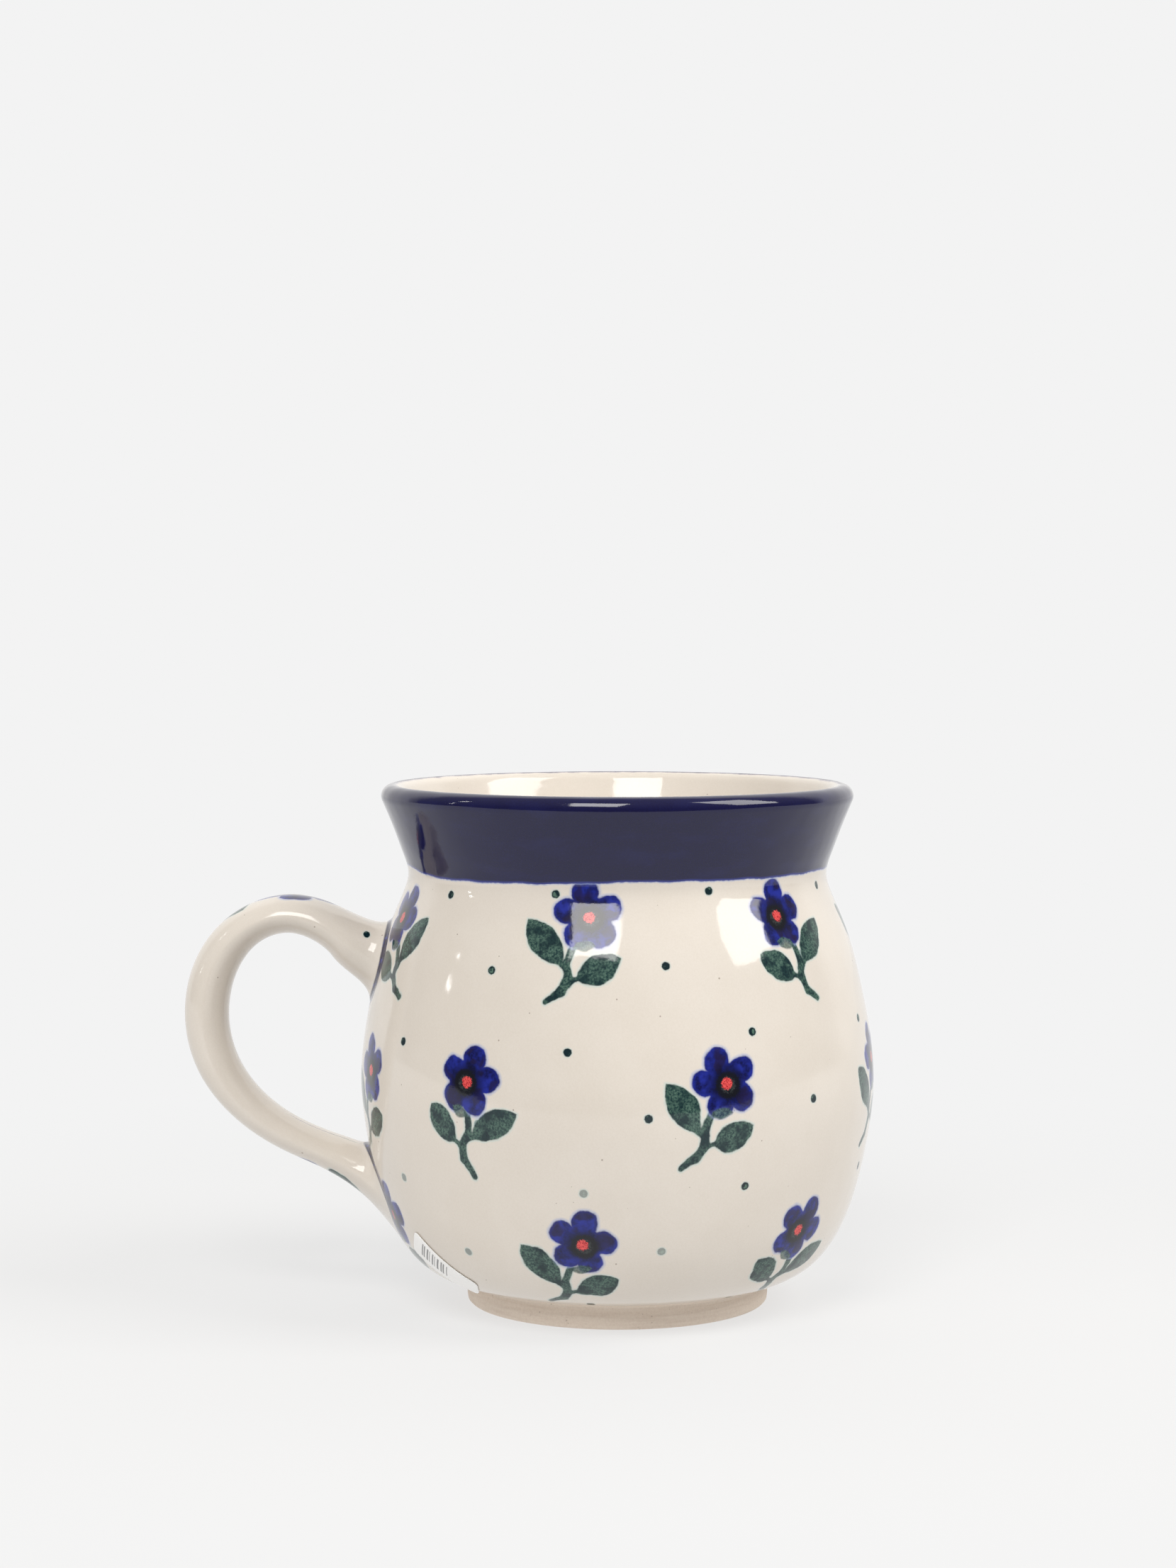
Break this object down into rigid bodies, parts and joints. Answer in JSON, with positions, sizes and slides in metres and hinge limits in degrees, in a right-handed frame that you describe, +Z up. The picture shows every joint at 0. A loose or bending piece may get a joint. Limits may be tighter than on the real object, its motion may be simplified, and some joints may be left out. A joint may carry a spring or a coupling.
{
  "type": "mug",
  "caption": "Round-bellied stoneware mug with a flared cobalt collar, a looped strap handle and folk flower decoration.",
  "frame": {"origin": "centre of the foot ring, on the plane the mug stands on", "axes": "+Z up, the handle points along -X, so +X is the mug's long way and +Y is across it"},
  "size_m": [0.1266, 0.0942, 0.095],
  "materials": {
    "bare_clay": "fired stoneware, unglazed and matte, turned foot",
    "handle_clay": "fired stoneware under glaze",
    "glazed_slip": "slip worked smooth, under the same gloss glaze",
    "decorated_glaze": "gloss cream glaze over hand-stamped cobalt flowers, leaves and dots",
    "cobalt_glaze": "gloss cobalt band, hand-painted edge",
    "lining_glaze": "plain gloss cream lining",
    "handle_glaze": "gloss cream glaze with a cobalt flower on the back of the loop",
    "label_paper": "matte white paper with plain grey bars"
  },
  "bodies": {
    "root": {"stoneware_body": "bare_clay", "stoneware_handle": "handle_clay", "upper_handle_joint": "glazed_slip", "lower_handle_joint": "glazed_slip", "outer_glaze": "decorated_glaze", "rim_band": "cobalt_glaze", "inner_glaze": "lining_glaze", "handle_glaze": "handle_glaze", "price_label": "label_paper"}
  },
  "joints": []
}
